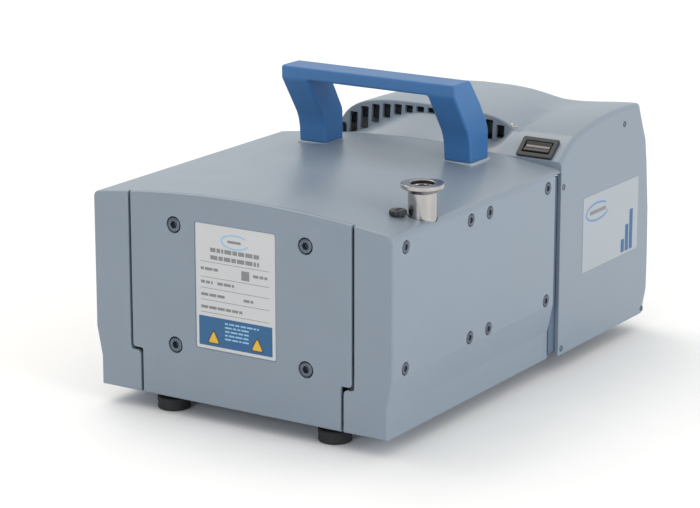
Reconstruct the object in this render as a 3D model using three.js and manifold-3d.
// Two-stage rotary vane vacuum pump in a closed casing with a carry handle.
// Millimetres, +Z up, -Y is the front. The origin is on the ground under the middle of the pump.
import * as THREE from 'three';
import { mergeVertices } from 'three/addons/utils/BufferGeometryUtils.js';
import Module from 'manifold-3d';

const wasm = await Module();
wasm.setup();

// ---------- driving dimensions ----------
const GAP = 0.3; // between neighbouring pieces
const WALL = 3; // sheet and moulded covers
const HALF_WIDTH = 125;
const FRONT_Y = -202;
const BACK_Y = 182;
const FOOT_HEIGHT = 13;
const DECK_EDGE_Z = 155.5; // top edge of the side walls
const DECK_RISE = 9.1; // how much the deck is arched at its middle
const SEAM_FRONT = 24; // end of the main casing
const SEAM_BACK = 33.5; // start of the rear hood
const AXIS_Z = 95; // shaft line

const SILL = { inset: 4.3, low: 34, high: 56 }; // inward step along the foot of the side walls
const COVER = { halfTop: 92.3, halfFoot: 83.7, stepZ: 45.7, seam: 2 };
const FRONT_SCREW = { x: 55, zs: [52.7, 140.1], head: 5.2, height: 5.2, bore: 6, depth: 6 };
const SCREW_HOLE = 2.8; // radius of the hole for a screw's shank
const SCREW_SHANK = 2.5;
const SIDE_SCREW = {
  ys: [-185.1, -98.3, -71.9, 13.4], zs: [60.7, 145.7], head: 4.2, height: 1.4, bore: 4.6, depth: 1.8,
};
const BALLAST_STEM = 4;
const FOOT = { radius: 12, x: 68.7, ys: [-185.7, 148] };
const HANDLE = { half: 75, inner: 51.5, undersideZ: 215, aboveDeck: 1.9 };
const INLET = { x: 113.5, y: -145.5, faceZ: 180.5, footZ: 151 };
const EXHAUST = { x: -88, z: 120, faceY: 202 };
const BALLAST = { x: 102, y: -158.5, radius: 6.2, height: 3.4, aboveDeck: 0.4 };
const SWITCH = { x: 101, y: 41.25, z: 167.4, slope: 0.7, width: 30, length: 18 };
const ROCKER_TILT = 0.105; // half of the rocker's travel, in radians
const OIL_PORTS_Y = -28; // sight glass and plugs, on the left wall
const PORT_PROUD = 3.5; // how far they stand out, as much as the inlet flange does on the right
const PORT_CLEARANCE = 0.6; // round the ports, where they pass the wall
const SIGHT = { z: 88, radius: 14, window: 10 };
const FILL = { z: 128, radius: 11, hexagon: 5 };
const DRAIN = { z: 27, radius: 8, hexagon: 4 };
const POWER = { x: 72, z: 46, width: 27, height: 19 };
const OUTLET = { x: 0, z: 104, width: 116, height: 66, y: 168 }; // warm air outlet in the back
const BASE = { half: 117.2, back: 166 };
const BULKHEAD = { half: 121.6, top: 150.5, motorHole: 28, pipeHole: 9 };

const TANK = { half: 94, front: -190, back: 18, low: 16.3, high: 150, wall: 5 };
const BORE = { radius: 28, offset: 4 }; // pump bore and how far it lies below the shaft line
const ROTOR_RADIUS = 23.5;
const STATOR_RADIUS = 46;
const SHAFT_RADIUS = 7;
const VANE = { thickness: 4, root: 11, tip: 23.2 };
const STAGES = [
  { name: 'stage_1', from: -120, to: -54.3 },
  { name: 'stage_2', from: -38, to: -5.3 },
];

// ---------- geometry helpers ----------
function solid(geometry) {
  const bare = new THREE.BufferGeometry();
  bare.setAttribute('position', geometry.getAttribute('position').clone());
  if (geometry.index) bare.setIndex(geometry.index.clone());
  const merged = mergeVertices(bare, 1e-4);
  const place = merged.getAttribute('position').array;
  const corners = merged.index.array;
  const kept = [];
  let volume = 0;
  const [a, b, c] = [new THREE.Vector3(), new THREE.Vector3(), new THREE.Vector3()];
  for (let i = 0; i < corners.length; i += 3) {
    const [p, q, r] = [corners[i], corners[i + 1], corners[i + 2]];
    if (p === q || q === r || r === p) continue;
    kept.push([p, q, r]);
    a.fromArray(place, 3 * p);
    b.fromArray(place, 3 * q);
    c.fromArray(place, 3 * r);
    volume += a.dot(b.cross(c));
  }
  const outward = kept.map(([p, q, r]) => (volume < 0 ? [p, r, q] : [p, q, r]));
  const triVerts = new Uint32Array(outward.flat());
  const vertProperties = new Float32Array(place);
  return new wasm.Manifold(new wasm.Mesh({ numProp: 3, vertProperties, triVerts }));
}

function surface(body) {
  const mesh = body.getMesh();
  const geometry = new THREE.BufferGeometry();
  geometry.setAttribute('position', new THREE.BufferAttribute(mesh.vertProperties, 3));
  geometry.setIndex(new THREE.BufferAttribute(mesh.triVerts, 1));
  geometry.computeVertexNormals();
  return geometry;
}

const joined = (first, ...others) => others.reduce((body, other) => body.add(other), first);
const cut = (first, ...tools) => tools.reduce((body, tool) => body.subtract(tool), first);

function block(x0, x1, y0, y1, z0, z1) {
  const box = new THREE.BoxGeometry(x1 - x0, y1 - y0, z1 - z0);
  return solid(box.translate((x0 + x1) / 2, (y0 + y1) / 2, (z0 + z1) / 2));
}

// Turns a profile of [radius, station] points about the x, y or z axis and moves it to (x, y, z).
function turned(profile, axis = 'y', [x, y, z] = [0, 0, 0], sides = 32) {
  const lathe = new THREE.LatheGeometry(profile.map(([r, s]) => new THREE.Vector2(r, s)), sides);
  if (axis === 'x') lathe.rotateZ(-Math.PI / 2);
  if (axis === 'z') lathe.rotateX(Math.PI / 2);
  return solid(lathe.translate(x, y, z));
}
const rod = (r, from, to) => [[0, from], [r, from], [r, to], [0, to]];
const tube = (inner, outer, from, to) => [
  [inner, from], [outer, from], [outer, to], [inner, to], [inner, from],
];

// Pushes an outline of [across, up] points along y; with along = 'x' the points are [y, z].
function pushed(outline, from, to, along = 'y') {
  const shape = new THREE.Shape(outline.map(([u, v]) => new THREE.Vector2(u, v)));
  const prism = new THREE.ExtrudeGeometry(shape, { depth: to - from, bevelEnabled: false });
  if (along === 'y') prism.rotateX(Math.PI / 2).translate(0, to, 0);
  else prism.rotateX(Math.PI / 2).rotateZ(Math.PI / 2).translate(from, 0, 0);
  return solid(prism);
}

const deckZ = (x) => DECK_EDGE_Z + DECK_RISE * (1 - (x / HALF_WIDTH) ** 2);
function deckArc(half, drop, steps = 12) {
  const points = [];
  for (let i = 0; i <= steps; i += 1) {
    const x = half - (2 * half * i) / steps;
    points.push([x, deckZ(x) - drop]);
  }
  return points;
}

// ---------- assembly ----------
const pump = new THREE.Group();
const shaftLine = new THREE.Group();
shaftLine.position.z = AXIS_Z;
pump.add(shaftLine);

const FINISH = {
  paint: { color: 0x9aa8b4, roughness: 0.45, metalness: 0.1 },
  shadow: { color: 0x5f6f80, roughness: 0.55, metalness: 0.1 },
  blue: { color: 0x2f6fb8, roughness: 0.5, metalness: 0 },
  steel: { color: 0xc4c2bc, roughness: 0.25, metalness: 1 },
  darkSteel: { color: 0x55585c, roughness: 0.4, metalness: 0.9 },
  castIron: { color: 0x6f7376, roughness: 0.6, metalness: 0.8 },
  aluminium: { color: 0xb4b8bc, roughness: 0.4, metalness: 0.9 },
  rubber: { color: 0x1a1a1a, roughness: 0.85, metalness: 0 },
  black: { color: 0x222222, roughness: 0.5, metalness: 0 },
  copper: { color: 0x9a5b32, roughness: 0.45, metalness: 0.8 },
  glass: { color: 0xd8c890, roughness: 0.1, metalness: 0 },
  composite: { color: 0x3c3a36, roughness: 0.6, metalness: 0 },
};

function add(name, body, finish, parent = pump) {
  const mesh = new THREE.Mesh(surface(body), new THREE.MeshStandardMaterial(FINISH[finish]));
  mesh.name = name;
  parent.add(mesh);
  return mesh;
}

// ---------- casing ----------
function sideScrewPlaces(side) {
  return SIDE_SCREW.ys.flatMap((y) => SIDE_SCREW.zs.map((z) => [side * HALF_WIDTH, y, z]));
}

function mainCasing() {
  const front = FRONT_Y + WALL;
  const foot = HALF_WIDTH - SILL.inset;
  const inner = HALF_WIDTH - WALL;
  const outside = [
    [foot, FOOT_HEIGHT], [foot, SILL.low], [HALF_WIDTH, SILL.high], ...deckArc(HALF_WIDTH, 0),
    [-HALF_WIDTH, SILL.high], [-foot, SILL.low], [-foot, FOOT_HEIGHT],
  ];
  const inside = [
    [foot - WALL, 0], [foot - WALL, SILL.low], [inner, SILL.high], ...deckArc(inner, WALL),
    [-inner, SILL.high], [-foot + WALL, SILL.low], [-foot + WALL, 0],
  ];
  const shell = cut(pushed(outside, FRONT_Y, SEAM_FRONT), pushed(inside, front, SEAM_FRONT + 1));
  const deckLip = [...deckArc(HALF_WIDTH, 0), ...deckArc(HALF_WIDTH, WALL).reverse()];
  const doorway = coverOutline(COVER.seam, 20).map(([x, z]) => [x, z === FOOT_HEIGHT ? 0 : z]);
  const screwHoles = [-1, 1].flatMap((side) => sideScrewPlaces(side)).flatMap(([x, y, z]) => [
    turned(rod(SIDE_SCREW.bore, -SIDE_SCREW.depth, SIDE_SCREW.depth), 'x', [x, y, z], 12),
    turned(rod(SCREW_HOLE, -12, 12), 'x', [x, y, z], 12),
  ]);
  return cut(
    joined(shell, pushed(deckLip, SEAM_FRONT - 4, SEAM_BACK - 0.6)),
    pushed(doorway, FRONT_Y - 1, front + 0.01),
    turned(rod(10 + GAP, INLET.footZ - 1, 170), 'z', [INLET.x, INLET.y, 0], 24),
    turned(rod(BALLAST_STEM + GAP, 140, 170), 'z', [BALLAST.x, BALLAST.y, 0], 12),
    ...[SIGHT, FILL, DRAIN].map(({ radius, z }) => (
      turned(rod(radius + PORT_CLEARANCE, -130, -110), 'x', [0, OIL_PORTS_Y, z], 24)
    )),
    ...screwHoles,
  );
}

function coverOutline(grow = 0, headroom = 0) {
  const top = COVER.halfTop + grow;
  const foot = COVER.halfFoot + grow;
  const step = COVER.stepZ - grow;
  return [
    [-foot, FOOT_HEIGHT], [foot, FOOT_HEIGHT], [foot, step], [top, step],
    ...deckArc(top, -headroom), [-top, step], [-foot, step],
  ];
}

function frontCover() {
  const places = [-1, 1].flatMap((side) => FRONT_SCREW.zs.map((z) => [side * FRONT_SCREW.x, FRONT_Y, z]));
  const { bore, depth } = FRONT_SCREW;
  const bosses = places.map((place) => turned(rod(bore + 2.5, 1, depth + 2.5), 'y', place, 20));
  const holes = places.flatMap((place) => [
    turned(rod(bore, -1, depth), 'y', place, 20),
    turned(rod(SCREW_HOLE, 1, depth + 4), 'y', place, 12),
  ]);
  return cut(joined(pushed(coverOutline(), FRONT_Y, FRONT_Y + WALL - GAP), ...bosses), ...holes);
}

function basePlate() {
  const front = FRONT_Y + WALL + GAP;
  return block(-BASE.half, BASE.half, front, BASE.back, FOOT_HEIGHT, FOOT_HEIGHT + WALL);
}

function bulkhead() {
  const { half, top, motorHole, pipeHole } = BULKHEAD;
  return cut(
    block(-half, half, SEAM_FRONT + GAP, SEAM_BACK - GAP, TANK.low, top),
    turned(rod(motorHole, 0, 60), 'y', [0, 0, AXIS_Z]),
    turned(rod(pipeHole, 0, 60), 'y', [EXHAUST.x, 0, EXHAUST.z], 20),
  );
}

// ---------- rear hood ----------
const HOOD = {
  leftZ: 136, // low shoulder on the left
  rightZ: 185, // crest of the high shoulder on the right, with the switch on its front slope
  rightCrestY: 130,
  innerZ: 180.3, // the high shoulder, next to the dome
  innerX: 68, // from here the shoulder rises on to the side
  gutterZ: 166, // the dip between shoulder and dome, at its front end
  archY: 53.8, // front face of the motor dome, with the air slots
  archHalf: 84,
  archCrest: 187.5,
  squareness: [3.7, 2.45], // of the dome's section, at its front and back; 2 is an ellipse
  archTop: 180.5, // crest of the bulge in front of the slots
  skirtBack: 36.5, // behind the seam the hood reaches down to the deck
  xs: [-125, -100, -87, -83, -76, -66, -50, -30, 0, 30, 50, 64, 74, 82, 88, 100, 115, 125],
  ys: [33.5, 36.5, 43, 53.2, 54.4, 66, 84, 108, 135, 161.5],
  levels: [0, 0.11, 0.3, 0.5, 0.82, 1],
};
const SLOT = { first: -78.5, leftmost: -80, pitch: 10, count: 15, width: 7.2, underRoof: 3, overBulge: 0.8 };
const lerp = (a, b, t) => a + (b - a) * t;
const smooth = (low, high, v) => THREE.MathUtils.smoothstep(v, low, high);
const softMin = (a, b, k) => Math.min(a, b) - Math.max(k - Math.abs(a - b), 0) ** 2 / (4 * k);
const softMax = (a, b, k) => -softMin(-a, -b, k);

function hoodTop(x, y) {
  const slope = 161 + 0.8 * (y - SEAM_BACK);
  const right = softMin(slope, HOOD.rightZ - 0.0015 * (y - HOOD.rightCrestY) ** 2, 5);
  if (y < HOOD.archY) {
    const t = (y - SEAM_BACK) / (HOOD.archY - SEAM_BACK);
    const bulge = lerp(deckZ(x), Math.max(HOOD.archTop - 0.0058 * x * x, HOOD.leftZ), t);
    return lerp(bulge, right, smooth(48, 74, x));
  }
  const back = (y - HOOD.archY) / (BACK_Y - HOOD.archY);
  const crest = HOOD.archCrest + 6 * back - 9 * back * back;
  const squareness = lerp(...HOOD.squareness, back);
  const across = Math.min(Math.abs(x) / HOOD.archHalf, 1);
  const dome = lerp(HOOD.leftZ, crest, (1 - across ** squareness) ** (1 / squareness));
  const inner = softMin(right, HOOD.innerZ, 6);
  const gutter = Math.min(lerp(HOOD.gutterZ, HOOD.innerZ, (y - HOOD.archY) / 60), inner);
  const flank = lerp(inner, right, smooth(HOOD.innerX, HALF_WIDTH, x));
  const shoulder = x < 0 ? HOOD.leftZ : lerp(gutter, flank, smooth(62, 82, x));
  return softMax(dome, shoulder, 4);
}

const BACK_OUTLINE = [[13, 174], [32, 181.5], [60, 182], [99.5, 180.7], [154.3, 174.9], [184, 161.5]];
function hoodBack(z) {
  const at = BACK_OUTLINE.findIndex(([height]) => height >= z);
  if (at <= 0) return BACK_OUTLINE[at === 0 ? 0 : BACK_OUTLINE.length - 1][1];
  const [[z0, y0], [z1, y1]] = [BACK_OUTLINE[at - 1], BACK_OUTLINE[at]];
  return lerp(y0, y1, (z - z0) / (z1 - z0));
}

// A box whose top and back follow the hood, drawn in by inset on every side but the open ones.
function hoodBody(inset) {
  const { xs, ys, levels } = HOOD;
  const box = new THREE.BoxGeometry(1, 1, 1, xs.length - 1, ys.length - 1, levels.length - 1);
  const place = box.getAttribute('position');
  const [yFirst, yLast] = [ys[0], ys[ys.length - 1]];
  for (let i = 0; i < place.count; i += 1) {
    const column = Math.round((place.getX(i) + 0.5) * (xs.length - 1));
    const row = Math.round((place.getY(i) + 0.5) * (ys.length - 1));
    const level = Math.round((place.getZ(i) + 0.5) * (levels.length - 1));
    const step = ys[row] > HOOD.archY ? inset : 0;
    const along = ys[row] + step * (1 - (ys[row] - HOOD.archY) / (yLast - HOOD.archY));
    const x = xs[column] * (1 - inset / HALF_WIDTH);
    const roof = hoodTop(xs[column], ys[row]);
    const skirt = inset > 0 && ys[row] <= HOOD.skirtBack;
    const top = (skirt ? Math.min(roof, deckZ(xs[column])) : roof) - inset;
    const nominal = lerp(FOOT_HEIGHT, HOOD.rightZ, levels[level]);
    const back = hoodBack(nominal) - inset;
    const y = lerp(yFirst, back, (along - yFirst) / (yLast - yFirst));
    const z = lerp(FOOT_HEIGHT, top, levels[level]);
    place.setXYZ(i, x, y, z);
  }
  return solid(box);
}

function slotBoxes(y0, y1) {
  const slots = [];
  for (let i = 0; i < SLOT.count; i += 1) {
    const x = SLOT.first + i * SLOT.pitch;
    const left = Math.max(x - SLOT.width / 2, SLOT.leftmost);
    const right = x + SLOT.width / 2;
    const roof = Math.min(...[left, right].map((edge) => hoodTop(edge, HOOD.archY + 1))) - SLOT.underRoof;
    const floor = hoodTop(x, HOOD.archY - 1) + SLOT.overBulge;
    if (roof - floor > 2) slots.push(block(left, right, y0, y1, floor, roof));
  }
  return slots;
}

function switchPlaced(body) {
  const moved = surface(body).rotateX(SWITCH.slope).translate(SWITCH.x, SWITCH.y, SWITCH.z);
  return solid(moved);
}

function rearHood() {
  const inner = HALF_WIDTH - WALL - 1;
  const cavity = joined(
    hoodBody(WALL),
    block(-inner, inner, SEAM_BACK - 1, 60, 5, HOOD.leftZ - WALL),
    block(-inner, inner, SEAM_BACK + WALL, 168, 5, 30),
  );
  const { width, length } = SWITCH;
  return cut(
    hoodBody(0),
    cavity,
    ...slotBoxes(HOOD.archY - 3, HOOD.archY + 6),
    switchPlaced(block(-width / 2 + 1.6, width / 2 - 1.6, -length / 2 + 1.6, length / 2 - 1.6, -14, 10)),
    block(OUTLET.x - OUTLET.width / 2, OUTLET.x + OUTLET.width / 2, 150, 190,
      OUTLET.z - OUTLET.height / 2, OUTLET.z + OUTLET.height / 2),
    turned(rod(11, 150, 190), 'y', [EXHAUST.x, 0, EXHAUST.z], 24),
    block(POWER.x - POWER.width / 2 - GAP, POWER.x + POWER.width / 2 + GAP, 150, 190,
      POWER.z - POWER.height / 2 - GAP, POWER.z + POWER.height / 2 + GAP),
  );
}

function intakeGrille() {
  const y0 = HOOD.archY + 5;
  const xs = Array.from({ length: 17 }, (_, i) => (i - 8) * 9.2);
  const roofs = xs.map((x) => [x, hoodTop(x, HOOD.archY + 1)]);
  const top = roofs.map(([x, z]) => [x, z - 6.5]);
  const foot = roofs.map(([x, z]) => [x, Math.min(z - 12, 170)]).reverse();
  return pushed([...top, ...foot], y0, y0 + 2);
}

function outletGrille() {
  const [halfWidth, halfHeight] = [OUTLET.width / 2 - GAP, OUTLET.height / 2 - GAP];
  const bars = [];
  for (let i = -4; i <= 4; i += 1) {
    const z = OUTLET.z + i * 7;
    bars.push(block(-halfWidth + 5, halfWidth - 5, 0, 300, z - 2.2, z + 2.2));
  }
  const { y, z: middleZ } = OUTLET;
  const plate = block(-halfWidth, halfWidth, y, y + 4, middleZ - halfHeight, middleZ + halfHeight);
  return cut(plate, ...bars);
}

// ---------- handle and feet ----------
function carryHandle() {
  const deck = deckZ(HANDLE.half) + HANDLE.aboveDeck;
  const side = [
    [-12.5, deck], [12.9, deck], [12.9, 186], [1, 205.6], [-12.5, 222.5], [-15.5, 225],
    [-34, 225], [-37, 222], [-37, 214.5], [-14.5, 182], [-12.5, 177],
  ];
  const { half, inner, undersideZ } = HANDLE;
  const corner = 6;
  const opening = [
    [-inner, 100], [inner, 100], [inner, undersideZ - corner], [inner - corner, undersideZ],
    [-inner + corner, undersideZ], [-inner, undersideZ - corner],
  ];
  return cut(pushed(side, -half, half, 'x'), pushed(opening, -60, 40));
}

function foot() {
  const { radius } = FOOT;
  const top = FOOT_HEIGHT - GAP;
  const profile = [[0, 0], [radius - 1.5, 0], [radius, 1.5], [radius, 9], [8, top], [0, top]];
  return turned(profile, 'z', [0, 0, 0], 24);
}

// ---------- vacuum flanges: small flange, 30 mm across on a 20 mm tube ----------
function smallFlange(length, axis, place) {
  const profile = [
    [8, 0], [10, 0], [10, length - 5.5], [15, length - 3], [15, length],
    [8.7, length], [8.7, length - 2.6], [8, length - 2.6], [8, 0],
  ];
  return turned(profile, axis, place, 28);
}

function bentPipe(points, outer, inner, steps) {
  const spots = points.map((p) => new THREE.Vector3(...p));
  const extrudePath = new THREE.CatmullRomCurve3(spots, false, 'centripetal');
  const ring = new THREE.Shape().absarc(0, 0, outer, 0, 2 * Math.PI);
  ring.holes.push(new THREE.Path().absarc(0, 0, inner, 0, 2 * Math.PI, true));
  const settings = { extrudePath, steps, curveSegments: 4, bevelEnabled: false };
  return solid(new THREE.ExtrudeGeometry(ring, settings));
}

// ---------- screws, plugs, switch, socket ----------
function socketScrew(head, headHeight, shank, length) {
  const profile = [
    [0, headHeight], [head - 0.5, headHeight], [head, headHeight - 0.5], [head, 0],
    [shank, 0], [shank, -length], [0, -length],
  ];
  const socket = turned(rod(head * 0.5, headHeight * 0.4, 20), 'y', [0, 0, 0], 6);
  return cut(turned(profile, 'y', [0, 0, 0], 12), socket);
}

function switchFrame() {
  const { width, length } = SWITCH;
  const flange = block(-width / 2, width / 2, -length / 2, length / 2, GAP, 1.9);
  const [halfW, halfL] = [width / 2 - 2, length / 2 - 2];
  const well = block(-halfW, halfW, -halfL, halfL, -12, 1);
  return cut(joined(flange, well), block(-halfW + 1.6, halfW - 1.6, -halfL + 1.6, halfL - 1.6, -9, 5));
}

function switchRocker() {
  const half = SWITCH.width / 2 - 4.4;
  const side = [[-4.7, -2.5], [4.7, -2.5], [4.8, 2.4], [0, 0.9], [-4.8, 2.4]];
  return solid(surface(pushed(side, -half, half, 'x')).rotateX(-ROCKER_TILT));
}

function powerInlet() {
  const { x, z, width, height } = POWER;
  const [halfW, halfH] = [width / 2, height / 2];
  const flange = block(-halfW - 10, halfW + 10, BACK_Y + GAP, BACK_Y + 2.3, -halfH - 2, halfH + 2);
  const shell = block(-halfW, halfW, BACK_Y - 20, BACK_Y + 1, -halfH, halfH);
  const socket = block(-halfW + 1.8, halfW - 1.8, BACK_Y - 14, BACK_Y + 5, -halfH + 1.8, halfH - 1.8);
  const pins = [-7, 0, 7].map((px) => {
    const pz = px === 0 ? 2.5 : -2.5;
    return block(px - 1, px + 1, BACK_Y - 15, BACK_Y - 8, pz - 2.2, pz + 2.2);
  });
  const body = joined(cut(joined(flange, shell), socket), ...pins);
  return solid(surface(body).translate(x, 0, z));
}

function ballastKnob() {
  const { radius, height } = BALLAST;
  const profile = [
    [0, -8], [BALLAST_STEM, -8], [BALLAST_STEM, 0], [radius, 0],
    [radius, height - 1], [radius - 1, height], [0, height],
  ];
  const grooves = [];
  for (let i = 0; i < 8; i += 1) {
    const angle = (i * Math.PI) / 4;
    const place = [radius * Math.cos(angle), radius * Math.sin(angle), 0];
    grooves.push(turned(rod(0.9, 0.8, 9), 'z', place, 6));
  }
  const mark = block(-0.9, 0.9, 1.5, 7, height - 1, height + 1);
  return cut(turned(profile, 'z', [0, 0, 0], 24), ...grooves, mark);
}

function sidePlug({ radius, hexagon }, face) {
  const plug = turned(rod(radius, face, -TANK.half - GAP), 'x', [0, 0, 0], 24);
  return cut(plug, turned(rod(hexagon, face - 1, face + 5), 'x', [0, 0, 0], 6));
}

function sightGlass() {
  const face = -HALF_WIDTH - PORT_PROUD;
  const bezel = turned(rod(SIGHT.radius, face, -TANK.half - GAP), 'x', [0, 0, 0], 24);
  return cut(bezel, turned(rod(SIGHT.window, face - 1, face + 2), 'x', [0, 0, 0], 24));
}

// ---------- pump inside the casing; the geometry is centred on the shaft line ----------
function oilCase() {
  const { half, front, back, low, high, wall } = TANK;
  const box = block(-half, half, front, back, low - AXIS_Z, high - AXIS_Z);
  const hollow = block(-half + wall, half - wall, front + wall, back - wall, low + wall - AXIS_Z, 100);
  const seal = turned(rod(14, 0, 40), 'y', [0, 0, 0]);
  const suction = turned(rod(8.6, 80, 100), 'x', [0, -87, 15], 20);
  const exhaust = turned(rod(6, 0, 40), 'y', [EXHAUST.x + 6, 0, EXHAUST.z - AXIS_Z], 16);
  return cut(box, hollow, seal, suction, exhaust);
}

function endPlate(from, to, hole) {
  return turned(tube(hole, STATOR_RADIUS, from, to), 'y', [0, 0, 0]);
}

function stator({ from, to }) {
  const body = turned(rod(STATOR_RADIUS, from, to), 'y', [0, 0, 0]);
  const bore = turned(rod(BORE.radius, from - 1, to + 1), 'y', [0, 0, -BORE.offset]);
  const port = turned(rod(5, 20, 60), 'z', [0, (from + to) / 2, 0], 12);
  return cut(body, bore, port);
}

function rotor({ from, to }) {
  const [start, end] = [from + 0.4, to - 0.4];
  const body = turned(tube(SHAFT_RADIUS + GAP, ROTOR_RADIUS, start, end), 'y', [0, 0, 0]);
  const slot = VANE.thickness / 2 + GAP;
  const cuts = [-1, 1].map((side) => {
    const [a, b] = [side * (VANE.root - GAP), side * 30];
    return block(Math.min(a, b), Math.max(a, b), start - 1, end + 1, -slot, slot);
  });
  return cut(body, ...cuts);
}

function vane({ from, to }, side) {
  const [a, b] = [side * VANE.root, side * VANE.tip];
  const half = VANE.thickness / 2;
  return block(Math.min(a, b), Math.max(a, b), from + 0.6, to - 0.6, -half, half);
}

function pumpShaft() {
  return turned([
    [0, -133], [6, -133], [6, -121], [SHAFT_RADIUS, -119.5],
    [SHAFT_RADIUS, 18], [6, 18], [6, 30.5], [0, 30.5],
  ], 'y', [0, 0, 0], 20);
}

function couplingHub(from, to, jaws) {
  const hub = turned(tube(6.3, 20, from, to), 'y', [0, 0, 0], 24);
  const [root, tip] = jaws > 0 ? [to - 1, to + 4.6] : [from - 4.6, from + 1];
  const teeth = [0, 1].map((i) => {
    const turn = i * Math.PI + (jaws > 0 ? 0 : Math.PI / 2);
    const tooth = new THREE.BoxGeometry(8, tip - root, 8).translate(14, (root + tip) / 2, 0).rotateY(turn);
    return solid(tooth);
  });
  return joined(hub, ...teeth);
}

function spider() {
  const ring = turned(tube(7, 9.2, 31.6, 36.4), 'y', [0, 0, 0], 16);
  const arms = [0, 1, 2, 3].map((i) => {
    const arm = new THREE.BoxGeometry(10, 4.8, 5).translate(13, 34, 0).rotateY(i * Math.PI / 2 + Math.PI / 4);
    return solid(arm);
  });
  return joined(ring, ...arms);
}

function motorHousing() {
  const [inner, outer, hole] = [54.3, 58, 13];
  return turned([
    [hole, 52], [outer, 52], [outer, 144], [hole, 144],
    [hole, 139], [inner, 139], [inner, 57], [hole, 57], [hole, 52],
  ], 'y', [0, 0, 0], 36);
}

function motorRotor() {
  return turned([
    [0, 37.5], [6, 37.5], [6, 50], [8, 50], [8, 66], [30, 66],
    [30, 131], [8, 131], [8, 146], [6, 146], [6, 161], [0, 161],
  ], 'y', [0, 0, 0], 28);
}

function coolingFan() {
  const hub = turned(tube(6.3, 16, 147, 159), 'y', [0, 0, 0], 24);
  const blades = [];
  for (let i = 0; i < 7; i += 1) {
    const blade = new THREE.BoxGeometry(34, 2, 15).rotateX(0.6).translate(31, 153, 0);
    blades.push(solid(blade.rotateY((i * 2 * Math.PI) / 7)));
  }
  return joined(hub, ...blades);
}

// ---------- put the nodes together ----------
add('main_casing', mainCasing(), 'paint');
add('front_cover', frontCover(), 'paint');
add('base_plate', basePlate(), 'shadow');
add('rear_bulkhead', bulkhead(), 'shadow');
add('rear_hood', rearHood(), 'paint');
add('air_intake_grille', intakeGrille(), 'black');
add('air_outlet_grille', outletGrille(), 'black');
add('carry_handle', carryHandle(), 'blue');

const corners = [['front_left', -1, 0], ['front_right', 1, 0], ['rear_left', -1, 1], ['rear_right', 1, 1]];
for (const [corner, side, row] of corners) {
  add(`foot_${corner}`, foot(), 'rubber').position.set(side * FOOT.x, FOOT.ys[row], 0);
}

add('inlet_flange', smallFlange(INLET.faceZ - INLET.footZ, 'z', [INLET.x, INLET.y, INLET.footZ]), 'steel');
add('exhaust_flange', smallFlange(EXHAUST.faceY - 165, 'y', [EXHAUST.x, 165, EXHAUST.z]), 'steel');
add('inlet_pipe', bentPipe([
  [INLET.x, INLET.y, INLET.footZ - GAP], [INLET.x, INLET.y, 135], [INLET.x, -137, 119], [INLET.x, -120, 111],
  [INLET.x - 1, -101, 110], [100, -88.5, 110], [88, -87, 110], [47, -87, 110],
], 7.5, 6, 22), 'steel');
add('exhaust_pipe', turned(tube(6.5, 8, 18.3, 164.7), 'y', [EXHAUST.x, 0, EXHAUST.z], 20), 'steel');

let screwNumber = 1;
for (const z of FRONT_SCREW.zs) {
  for (const side of [-1, 1]) {
    const body = socketScrew(FRONT_SCREW.head, FRONT_SCREW.height, SCREW_SHANK, 3);
    const screw = add(`front_screw_${screwNumber}`, body, 'darkSteel');
    screw.position.set(side * FRONT_SCREW.x, FRONT_Y + FRONT_SCREW.depth - GAP, z);
    screw.rotation.z = Math.PI;
    screwNumber += 1;
  }
}
sideScrewPlaces(1).forEach(([x, y, z], i) => {
  const body = socketScrew(SIDE_SCREW.head, SIDE_SCREW.height, SCREW_SHANK, 24);
  const screw = add(`side_screw_${i + 1}`, body, 'darkSteel');
  screw.position.set(x - SIDE_SCREW.depth + GAP, y, z);
  screw.rotation.z = -Math.PI / 2;
});

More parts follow.
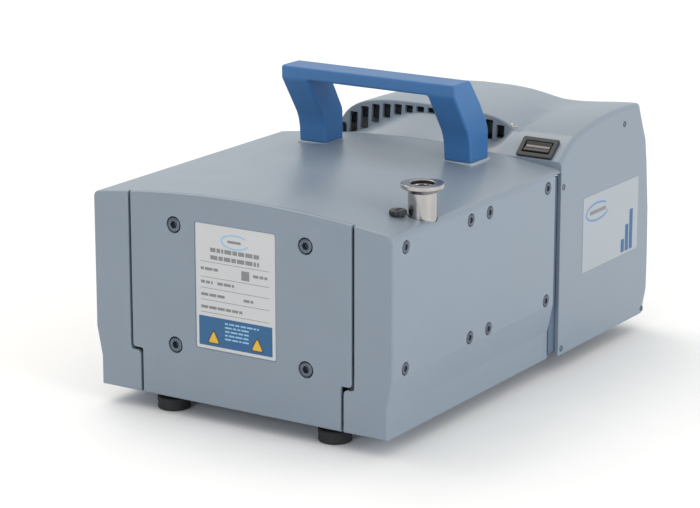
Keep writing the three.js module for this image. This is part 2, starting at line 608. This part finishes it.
const switchSeat = new THREE.Group();
switchSeat.position.set(SWITCH.x, SWITCH.y, SWITCH.z);
switchSeat.rotation.x = SWITCH.slope;
pump.add(switchSeat);
add('switch_frame', switchFrame(), 'steel', switchSeat);
add('switch_rocker', switchRocker(), 'black', switchSeat);
add('power_inlet', powerInlet(), 'black');
const ballastZ = deckZ(BALLAST.x - BALLAST.radius) + BALLAST.aboveDeck;
add('gas_ballast_knob', ballastKnob(), 'black').position.set(BALLAST.x, BALLAST.y, ballastZ);
const fillPlug = sidePlug(FILL, -HALF_WIDTH - PORT_PROUD);
const drainPlug = sidePlug(DRAIN, -HALF_WIDTH + 1);
add('oil_sight_glass', sightGlass(), 'glass').position.set(0, OIL_PORTS_Y, SIGHT.z);
add('oil_fill_plug', fillPlug, 'black').position.set(0, OIL_PORTS_Y, FILL.z);
add('oil_drain_plug', drainPlug, 'steel').position.set(0, OIL_PORTS_Y, DRAIN.z);

add('oil_case', oilCase(), 'aluminium', shaftLine);
const lid = block(-TANK.half, TANK.half, TANK.front, TANK.back, TANK.high + GAP, TANK.high + 2.6);
add('oil_case_lid', lid, 'aluminium');
add('front_end_plate', endPlate(-135, -120.3, 6.6), 'castIron', shaftLine);
add('middle_plate', endPlate(-54, -38.3, 7.6), 'castIron', shaftLine);
add('rear_end_plate', endPlate(-5, 12.7, 7.6), 'castIron', shaftLine);
add('shaft_seal', turned(tube(7.3, 13.7, 13.4, 17.9), 'y', [0, 0, 0]), 'rubber', shaftLine);
for (const stage of STAGES) {
  add(`${stage.name}_stator`, stator(stage), 'castIron', shaftLine);
  add(`${stage.name}_rotor`, rotor(stage), 'steel', shaftLine);
  add(`${stage.name}_vane_left`, vane(stage, -1), 'composite', shaftLine);
  add(`${stage.name}_vane_right`, vane(stage, 1), 'composite', shaftLine);
}
add('exhaust_valve', turned(rod(8, 0, 1.5), 'z', [0, -21.6, STATOR_RADIUS + 0.4], 20), 'steel', shaftLine);
add('oil_mist_filter', turned(tube(9, 20, -160, -60), 'y', [-68, 0, 18], 24), 'glass', shaftLine);
add('pump_shaft', pumpShaft(), 'steel', shaftLine);
add('coupling_hub_pump', couplingHub(20.5, 31, 1), 'castIron', shaftLine);
add('coupling_spider', spider(), 'rubber', shaftLine);
add('coupling_hub_motor', couplingHub(37, 47, -1), 'castIron', shaftLine);
add('motor_housing', motorHousing(), 'aluminium', shaftLine);
add('motor_stator', turned(tube(31.5, 54, 66, 131), 'y', [0, 0, 0], 36), 'copper', shaftLine);
add('motor_rotor', motorRotor(), 'steel', shaftLine);
add('cooling_fan', coolingFan(), 'black', shaftLine);
add('run_capacitor', turned(rod(17, 70, 140), 'y', [88, 0, 55 - AXIS_Z], 24), 'aluminium', shaftLine);

export default pump;
